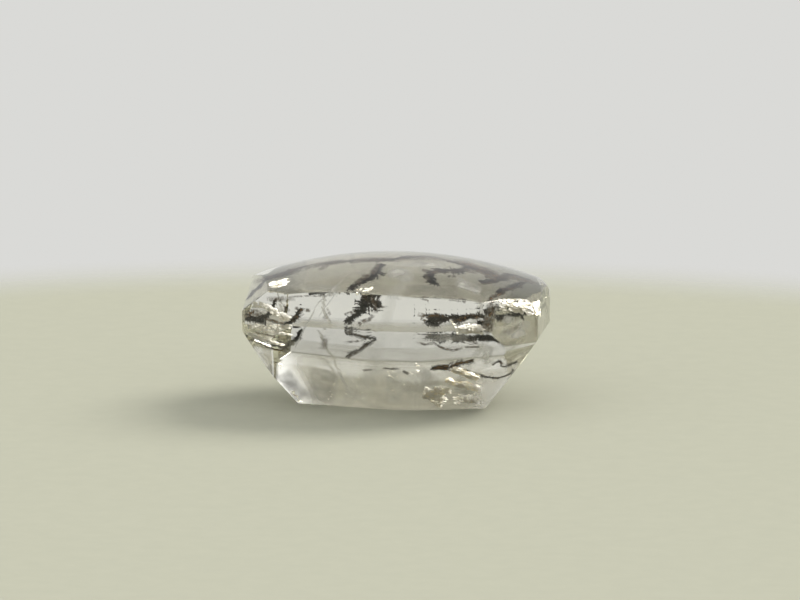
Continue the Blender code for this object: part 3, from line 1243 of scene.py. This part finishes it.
def feathery_veils() -> list[Veil]:
    """Lists the soft dark fringes of the dendrites that show from the front, too fine for needles.

    Each row holds a path, a half width and how solid the fringe is.

    Returns:
        The veils.
    """
    dome_rim = (
        (((253, 283), (262, 279.5), (274, 277), (288, 273), (303, 268.5)), 3.0, 0.9),
        (((270, 279), (281, 276), (293, 272.5)), 1.8, 0.6),
        (((303, 268.5), (318, 264.8), (332, 262.6), (348, 261)), 2.6, 0.7),
        (((318, 269.5), (325, 267), (331, 263)), 2.0, 0.5),
        (((348, 261.5), (363, 260), (378, 259.5), (396, 259.8)), 2.8, 0.9),
        (((396, 259.8), (411, 258), (427, 257.6), (443, 259), (459, 262)), 2.4, 0.8),
        (((452, 260.5), (468, 264), (484, 270), (500, 275)), 3.2, 1.2),
        (((470, 268), (486, 273.5), (506, 278)), 2.2, 1.3),
        (((500, 274.5), (516, 278.5), (530, 281.5), (541, 285.5)), 2.4, 0.9),
    )
    windows = (
        (((379, 262), (376.5, 269.5), (370, 274.5)), 3.6, 0.75),
        (((370, 274.5), (362, 279), (354, 284.5), (351.5, 288.5)), 2.6, 0.9),
        (((421.5, 270), (432, 272.5), (442, 271.7)), 1.9, 0.9),
        (((442, 271.7), (453, 271), (466, 270.3), (479, 273)), 2.2, 0.7),
        (((424.5, 273.5), (427, 278), (430, 281.5)), 2.4, 0.8),
        (((447, 276.5), (457, 276.3)), 1.4, 0.6),
        (((484, 275.5), (491, 278), (499, 280)), 2.2, 0.9),
        (((497, 281.5), (489, 283), (480, 284)), 1.6, 0.7),
        (((487, 302), (492, 297), (500, 294.5), (506, 291.5)), 2.0, 1.0),
        (((499, 288.5), (510, 289.5), (517, 287), (525, 283.5)), 1.6, 0.8),
        (((266, 299), (276, 299.5), (286, 297.5)), 2.6, 0.5),
        (((286, 297), (310, 296), (333, 295.5)), 1.3, 0.4),
        (((244.8, 317.5), (250, 312), (256, 312.5), (262, 316)), 3.8, 1.0),
        (((262, 316.5), (270, 320), (280, 323.5), (288, 323)), 2.0, 1.0),
        (((282, 304), (286, 308), (290, 312)), 2.0, 0.5),
        (((289, 322), (297, 317), (304, 312)), 2.6, 0.9),
        (((294, 308), (302, 309.5), (311, 310.5)), 2.2, 0.9),
        (((247.5, 337), (253, 340.3), (264, 345), (274, 349.5), (281, 350.5), (290, 348.5)), 1.3, 1.0),
        (((251, 331), (266, 335), (288, 339)), 1.1, 0.9),
        (((325, 308), (329, 314), (323, 320)), 3.0, 0.35),
        (((322, 335), (325, 341), (323, 348)), 3.6, 0.35),
        (((344, 315), (350, 312.5), (356, 311)), 1.9, 0.8),
        (((360, 295.5), (371, 298), (376, 306), (374, 314)), 4.2, 0.6),
        (((374, 314), (369, 320), (361, 322), (357.5, 327)), 2.6, 0.75),
        (((378, 305.5), (388, 307)), 1.6, 0.5),
        (((345, 331.5), (355, 334.5), (365, 337), (375, 339)), 1.3, 0.8),
        (((343, 342.5), (354, 341.5), (366, 339.5)), 1.5, 0.55),
        (((372, 342), (366, 347), (359, 350.5)), 1.7, 0.8),
        (((360, 350.5), (354, 353.5), (347, 357)), 2.0, 1.0),
        (((419, 298.5), (428, 300.5), (428, 304)), 1.2, 0.6),
        (((448, 300.3), (467, 300.8)), 0.9, 0.6),
        (((417.5, 314), (427, 316.5), (437, 314.8), (448, 317.3)), 2.6, 1.0),
        (((448, 317.3), (456, 320.5), (464, 318.5), (472, 316), (482, 318)), 2.8, 1.0),
        (((420, 318), (425, 320.5), (426.5, 324)), 1.6, 0.9),
        (((414, 333.5), (427, 335), (448, 338.5), (475, 345.5)), 0.9, 0.8),
        (((456, 336), (466, 339.5), (479, 344)), 2.2, 0.8),
        (((416, 342.5), (425, 344.5), (434, 343.3), (444, 348), (453, 350.3), (464, 348)), 1.5, 0.9),
        (((464, 347.5), (480, 347)), 1.3, 0.8),
        (((431.5, 368.3), (440, 367), (450, 367.5)), 3.0, 2.6),
        (((450, 367), (459, 363.5), (474, 360.3)), 1.5, 2.0),
        (((475, 372.5), (485, 376), (495, 378.3), (505, 376), (511, 372)), 0.8, 0.8),
        (((491, 364.5), (498, 361), (504.5, 365), (512, 363)), 1.4, 0.7),
    )
    lowest = (
        (((382, 368.3), (399, 368.7)), 0.9, 1.0),
        (((360, 370), (372, 369.7)), 0.7, 0.8),
        (((403, 370.5), (409, 374.5)), 1.5, 1.0),
        (((492, 303), (489, 318), (486, 333)), 6.5, 0.8),
    )
    return [
        Veil(Cloud.FEATHERY, path, half_width, body, depth)
        for depth, fringes in ((0.15, dome_rim), (0.3, windows), (0.25, lowest))
        for path, half_width, body in fringes
    ]


def hazes() -> list[Haze]:
    """Lists the wide faint clouds: behind, behind the front facets, and level under the dendrites.

    Returns:
        The hazes.
    """
    front = ((-2.2, 0.4, 4.0), (-4.1, 2.7, 4.2), (-4.9, 4.05, 4.4), (-5.2, 5.3, 4.4))
    level = ((-3.6, 4.15, 4.8), (-1.2, 4.2, 6.3), (1.4, 4.2, 6.3), (3.9, 4.15, 5.0))
    return [Haze(), Haze(Cloud.MILKY, front, 0.15, bow=1.2), Haze(Cloud.HAZE, level, 0.45)]


def back_veils() -> list[Veil]:
    """Lists a few clouds behind, of the same kinds, as the photograph doesn't show that side.

    Returns:
        The veils.
    """
    milky, smoke_and_shade = Cloud.MILKY, Cloud.SMOKE_AND_SHADE
    return [
        Veil(milky, ((300, 290), (325, 330), (345, 380)), 6.0, 0.4, 0.6),
        Veil(milky, ((455, 300), (440, 335), (431, 385)), 2.0, 0.7, 0.5),
        Veil(smoke_and_shade, ((360, 350), (385, 375)), 9.0, 0.35, 0.8),
    ]


@dataclass
class Dendrite:
    """One dendrite: a stem along its route, boughs on its sides, and needles all over.

    Sizes are in mm and angles in degrees. Reach is the longest bough's length, and core the stem's share
    of its solid's radius. Leans, lengths, radii and slants are drawn from their ranges, as shares. The
    needles' profile gives their radius along their length, both as shares.
    """

    name: str
    route: Route
    reach: float
    radius: float
    seed: int
    step: float = 0.11
    bough_gap: float = 0.11
    needle_gap: float = 0.06
    tip_radius: float = 0.05
    core: float = 0.65
    bough_radius: float = 0.045
    needle_radius: float = 0.028
    needle_length: float = 0.38
    needles_at_a_point: int = 3
    needle_patches: float = 2.6
    sparsest: float = 0.3
    usual: float = 0.75
    patchiness: float = 0.8
    needle_lean: Span = (0.1, 0.9)
    needle_lengths: Span = (0.3, 1.0)
    needle_radii: Span = (0.7, 1.1)
    needle_profile: tuple[Span, ...] = ((0.0, 1.0), (0.55, 0.7), (1.0, 0.2))
    bough_patches: float = 1.4
    bough_least: float = 0.25
    bough_spread: float = 1.5
    end_fullness: float = 0.45
    bough_needles: float = 0.6
    bough_curl: float = 0.12
    bough_stray: float = 0.22
    bough_tip: float = 0.18
    wander: float = 0.10
    wander_rise: float = 0.4
    wander_fineness: float = 1.9
    wander_apart: float = 3.7
    slant: float = 56.0
    slants: Span = (0.75, 1.2)
    lift: float = 38.0
    axis: Vector = field(default_factory=UP.copy)
    strands: list[list[tuple[Vector, float]]] = field(default_factory=list)
    axes: list[Vector] = field(default_factory=list)

    def stem(self) -> list[Vector]:
        """Draws the stem as a smooth curve through its route, with a slight wander.

        Returns:
            Its points at about equal steps.
        """
        corners = [Vector(spot) for spot in self.route]
        padded = [corners[0] * 2 - corners[1], *corners, corners[-1] * 2 - corners[-2]]
        points = []
        for before, start, end, after in zip(padded, padded[1:], padded[2:], padded[3:]):
            count = max(2, round((end - start).length / self.step))
            points += [catmull(before, start, end, after, index / count) for index in range(count)]
        points.append(corners[-1])
        apart = Vector((self.seed * self.wander_apart, 0.0, 0.0))
        shifts = [noise.noise_vector(point * self.wander_fineness + apart) * self.wander for point in points]
        for shift in shifts:
            shift.z *= self.wander_rise
        return [point + shift for point, shift in zip(points, shifts)]

    def grow_bough(
        self, rng: random.Random, root: Vector, heading: Vector, forward: Vector, length: float
    ) -> None:
        """Grows one bough, which curls towards the stem's direction, with its needles.

        Args:
            rng: The dendrite's own random numbers.
            root: Where it leaves the stem.
            heading: The unit direction in which it leaves.
            forward: The direction that it curls towards.
            length: Its length.
        """
        count = max(2, round(length / self.step))
        point, way = root.copy(), heading.copy()
        strand = [(point.copy(), self.bough_radius)]
        for index in range(1, count + 1):
            stray = Vector((rng.uniform(-1, 1), rng.uniform(-1, 1), rng.uniform(-0.5, 0.5)))
            way = (way + forward * self.bough_curl + stray * self.bough_stray).normalized()
            point = point + way * (length / count)
            taper = 1.0 - index / (count + 0.6)
            strand.append((point.copy(), self.bough_radius * max(self.bough_tip, taper)))
        self.strands.append(strand)
        self.grow_needles(rng, [spot for spot, _ in strand], self.bough_needles)

    def grow_needles(self, rng: random.Random, points: Sequence[Vector], share: float) -> None:
        """Grows needles on all sides of a stem or bough.

        Args:
            rng: The dendrite's own random numbers.
            points: The points of its axis.
            share: How long these needles are, as a share of the longest.
        """
        self.axes += points
        for start, end in zip(points, points[1:]):
            along = end - start
            forward = along.normalized()
            count = max(1, round(along.length / self.needle_gap)) * self.needles_at_a_point
            patch = noise.noise(start * self.needle_patches + Vector((0.0, 0.0, self.seed)))
            fullness = min(1.0, max(self.sparsest, self.usual + self.patchiness * patch))
            for index in range(count):
                root = start + along * ((index + rng.random()) / count)
                around = Matrix.Rotation(rng.uniform(0, math.tau), 3, forward)
                outward = around @ forward.cross(UP).normalized()
                heading = (outward + forward * rng.uniform(*self.needle_lean)).normalized()
                length = self.needle_length * share * fullness * rng.uniform(*self.needle_lengths)
                tip = root + heading * length
                radius = self.needle_radius * rng.uniform(*self.needle_radii)
                needle = [(root.lerp(tip, far), radius * part) for far, part in self.needle_profile]
                self.strands.append(needle)

    def grow(self) -> None:
        """Grows the stem, its boughs and all their needles."""
        rng = random.Random(self.seed)
        stem = self.stem()
        last = len(stem) - 1
        thinning = (self.tip_radius - self.radius) / last
        radii = [self.core * (self.radius + thinning * index) for index in range(len(stem))]
        self.strands.append(list(zip(stem, radii)))
        self.grow_needles(rng, stem, 1.0)
        every = max(1, round(self.bough_gap / self.step))
        for index in range(1, last, every):
            forward = (stem[index + 1] - stem[index - 1]).normalized()
            fullness = self.end_fullness + (1.0 - self.end_fullness) * math.sin(math.pi * index / last)
            for hand in (1, -1):
                patch = noise.noise(stem[index] * self.bough_patches + Vector((self.seed, hand * 5.0, 0.0)))
                share = self.bough_least + self.bough_spread * rng.random() * (0.5 + 0.5 * patch)
                length = self.reach * fullness * min(1.0, share)
                slant = math.radians(self.slant * rng.uniform(*self.slants))
                turn = Matrix.Rotation(hand * slant, 3, self.axis)
                rise = math.sin(math.radians(rng.uniform(-self.lift, self.lift)))
                heading = turn @ forward + self.axis * rise
                self.grow_bough(rng, stem[index], heading.normalized(), forward, length)

    def build(self, finish: bpy.types.Material, *nodes: str) -> None:
        """Models the dendrite from its strands, and marks how far each point has grown.

        Args:
            finish: The dendrites' material.
            *nodes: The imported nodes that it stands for.
        """
        self.grow()
        curve = bpy.data.curves.new(self.name, "CURVE")
        curve.dimensions = "3D"
        curve.bevel_depth = MM
        curve.bevel_resolution = 0
        curve.use_fill_caps = True
        for strand in self.strands:
            spline = curve.splines.new("POLY")
            spline.points.add(len(strand) - 1)
            for knot, (point, radius) in zip(spline.points, strand):
                knot.co = (*(point * MM), 1.0)
                knot.radius = radius
        deselect_all()
        piece = bpy.data.objects.new(self.name, curve)
        bpy.context.scene.collection.objects.link(piece)
        piece.select_set(True)
        bpy.context.view_layer.objects.active = piece
        bpy.ops.object.convert(target="MESH")
        piece = bpy.context.object
        piece.name = self.name + "_growth"
        self.mark_age(piece.data)
        piece.data.materials.clear()
        piece.data.materials.append(finish)
        finish_piece(piece, Slot.DENDRITE, *nodes)

    def mark_age(self, mesh: bpy.types.Mesh) -> None:
        """Writes each point's distance from its stem or bough, as a share of a needle, to an attribute.

        Args:
            mesh: The dendrite's mesh.
        """
        tree = KDTree(len(self.axes))
        for index, point in enumerate(self.axes):
            tree.insert(point * MM, index)
        tree.balance()
        far = self.needle_length * MM
        ages = [min(1.0, tree.find(vertex.co)[2] / far) for vertex in mesh.vertices]
        mesh.attributes.new(AGE, "FLOAT", "POINT").data.foreach_set("value", ages)


def catmull(before: Vector, start: Vector, end: Vector, after: Vector, share: float) -> Vector:
    """A point of the smooth curve from start to end, which heads from before and to after.

    Args:
        before: The point ahead of the start.
        start: Where this stretch begins.
        end: Where it ends.
        after: The point past the end.
        share: How far along the stretch, from 0 to 1.

    Returns:
        The point.
    """
    slope_in, slope_out = (end - before) / 2, (after - start) / 2
    square, cube = share**2, share**3
    return (
        start * (2 * cube - 3 * square + 1)
        + slope_in * (cube - 2 * square + share)
        + end * (3 * square - 2 * cube)
        + slope_out * (cube - square)
    )


def dendrites() -> list[Dendrite]:
    """Lists the stone's dendrites, with the stems of their solids.

    Returns:
        The dendrites.
    """
    return [
        Dendrite(
            "dendrite_left",
            (
                (-4.25, 0.85, 5.45), (-4.70, 0.95, 4.95), (-5.10, 1.00, 4.60), (-5.50, 0.82, 4.45),
                (-6.20, 0.30, 4.45), (-6.65, -0.20, 4.45),
            ),
            reach=0.75,
            radius=0.13,
            seed=11,
        ),
        Dendrite(
            "dendrite_back_stem",
            (
                (-3.90, 0.40, 5.90), (-3.30, 0.24, 6.08), (-2.60, 0.20, 6.17), (-1.20, 0.25, 6.17),
                (-0.50, 0.37, 6.17), (0.05, 0.82, 6.17), (0.55, 1.32, 6.17), (1.10, 1.72, 6.17),
                (1.65, 1.80, 6.12),
            ),
            reach=0.60,
            radius=0.12,
            seed=13,
        ),
        Dendrite(
            "dendrite_centre",
            (
                (-0.72, -0.35, 6.08), (-0.70, -1.40, 5.95), (-0.83, -2.25, 5.80), (-1.15, -2.83, 5.60),
                (-1.53, -3.15, 5.35), (-1.75, -3.45, 5.10),
            ),
            reach=0.60,
            radius=0.13,
            seed=18,
        ),
        Dendrite(
            "dendrite_right_centre",
            (
                (4.40, 0.60, 5.18), (4.05, 0.98, 5.20), (3.53, 1.38, 5.25), (3.08, 0.94, 5.20),
                (2.94, 0.10, 5.15), (2.50, 0.24, 5.20), (2.07, -0.20, 5.20), (1.64, -0.63, 5.25),
                (1.85, -1.55, 5.10), (2.05, -2.20, 5.00),
            ),
            reach=0.60,
            radius=0.13,
            seed=14,
        ),
        Dendrite(
            "dendrite_right_back",
            (
                (2.25, 1.38, 6.12), (2.80, 1.14, 6.10), (3.53, 0.69, 6.00), (4.34, 0.69, 5.90),
                (4.80, 0.63, 5.80),
            ),
            reach=0.60,
            radius=0.12,
            seed=15,
        ),
        Dendrite(
            "dendrite_far_right",
            (
                (5.20, 1.13, 5.80), (5.72, 1.40, 5.75), (6.20, 1.47, 5.65), (6.55, 1.60, 5.60),
            ),
            reach=0.45,
            radius=0.10,
            seed=20,
        ),
        Dendrite(
            "dendrite_right_edge",
            (
                (5.85, 2.20, 4.95), (5.20, 1.90, 4.95), (5.03, 0.85, 4.95), (4.65, -0.20, 4.95),
                (4.17, -0.76, 4.95),
            ),
            reach=0.55,
            radius=0.13,
            seed=19,
        ),
        Dendrite(
            "dendrite_right_front",
            (
                (6.35, 0.65, 5.50), (6.10, -0.36, 5.60), (6.02, -1.40, 5.70), (5.74, -2.00, 5.80),
                (5.60, -2.85, 5.85),
            ),
            reach=0.45,
            radius=0.12,
            seed=23,
        ),
    ]


def fine_strands(sight: Sight) -> list[Dendrite]:
    """Lists the thin dark strands that show low in the stone, too fine for solids of their own.

    Args:
        sight: Where they are seen from.

    Returns:
        The strands.
    """
    fork = ((343, 332.5), (356, 335.5), (369, 338), (377, 338.5))
    fork_arm = ((376, 339.5), (369, 343), (357, 350), (346, 357))
    spike = ((431, 369.5), (437, 367), (445, 369), (457, 364.5), (474.5, 361))
    thread = ((465, 370), (480, 375), (496, 378), (508, 375), (513, 369))
    loop = ((491, 365), (500, 361), (507, 365), (517, 361))
    thin = {"wander": 0.14, "step": 0.07, "needle_length": 0.24, "needle_radius": 0.02, "bough_radius": 0.03}
    thin["axis"] = sight.view.forward
    return [
        Dendrite(name, tuple(tuple(sight.under(pixel, depth)) for pixel in path), reach, radius, seed, **thin)
        for name, path, depth, reach, radius, seed in (
            ("fork", fork, 1.6, 0.45, 0.035, 31),
            ("fork_arm", fork_arm, 1.7, 0.45, 0.06, 32),
            ("spike", spike, 0.7, 0.40, 0.11, 33),
            ("thread", thread, 0.8, 0.14, 0.03, 34),
            ("loop", loop, 0.8, 0.14, 0.025, 35),
        )
    ]


def set_light_paths(through: int = 24, glossy: int = 12, diffuse: int = 3) -> None:
    """Lets light pass through the stone as often as its facets turn it back, in plain colours.

    Args:
        through: How often light may pass a face of the stone or a cloud.
        glossy: How often it may be mirrored.
        diffuse: How often it may be scattered.
    """
    scene = bpy.context.scene
    scene.cycles.max_bounces = through
    scene.cycles.transmission_bounces = through
    scene.cycles.transparent_max_bounces = through
    scene.cycles.glossy_bounces = glossy
    scene.cycles.diffuse_bounces = diffuse
    scene.view_settings.view_transform = "Standard"


def main() -> None:
    """Builds the stone and what it is shown on."""
    logging.basicConfig(level=logging.INFO, format="%(name)s: %(message)s")
    noise.seed_set(NOISE_SEED)
    view = Viewpoint()
    view.add_camera()
    light = StudioLight()
    light.build()
    set_light_paths()
    Floor().build()
    stone = CutQuartz()
    stone.build()
    surface = stone.surface()
    front = Sight(view, surface, stone.finish.ior)
    back = Sight(Viewpoint(azimuth=view.azimuth + 180.0), surface, stone.finish.ior)
    veils = [(veil, front) for veil in front_veils()] + [(veil, back) for veil in back_veils()]
    build_veils(veils, hazes())
    build_flecks(bright_flecks() + satin_flecks(), front, light.towards_lamp)
    growth = DendriteFinish().material()
    for dendrite in dendrites():
        dendrite.build(growth, dendrite.name)
    for strand in fine_strands(front):
        strand.build(growth)


if __name__ == "__main__":
    main()
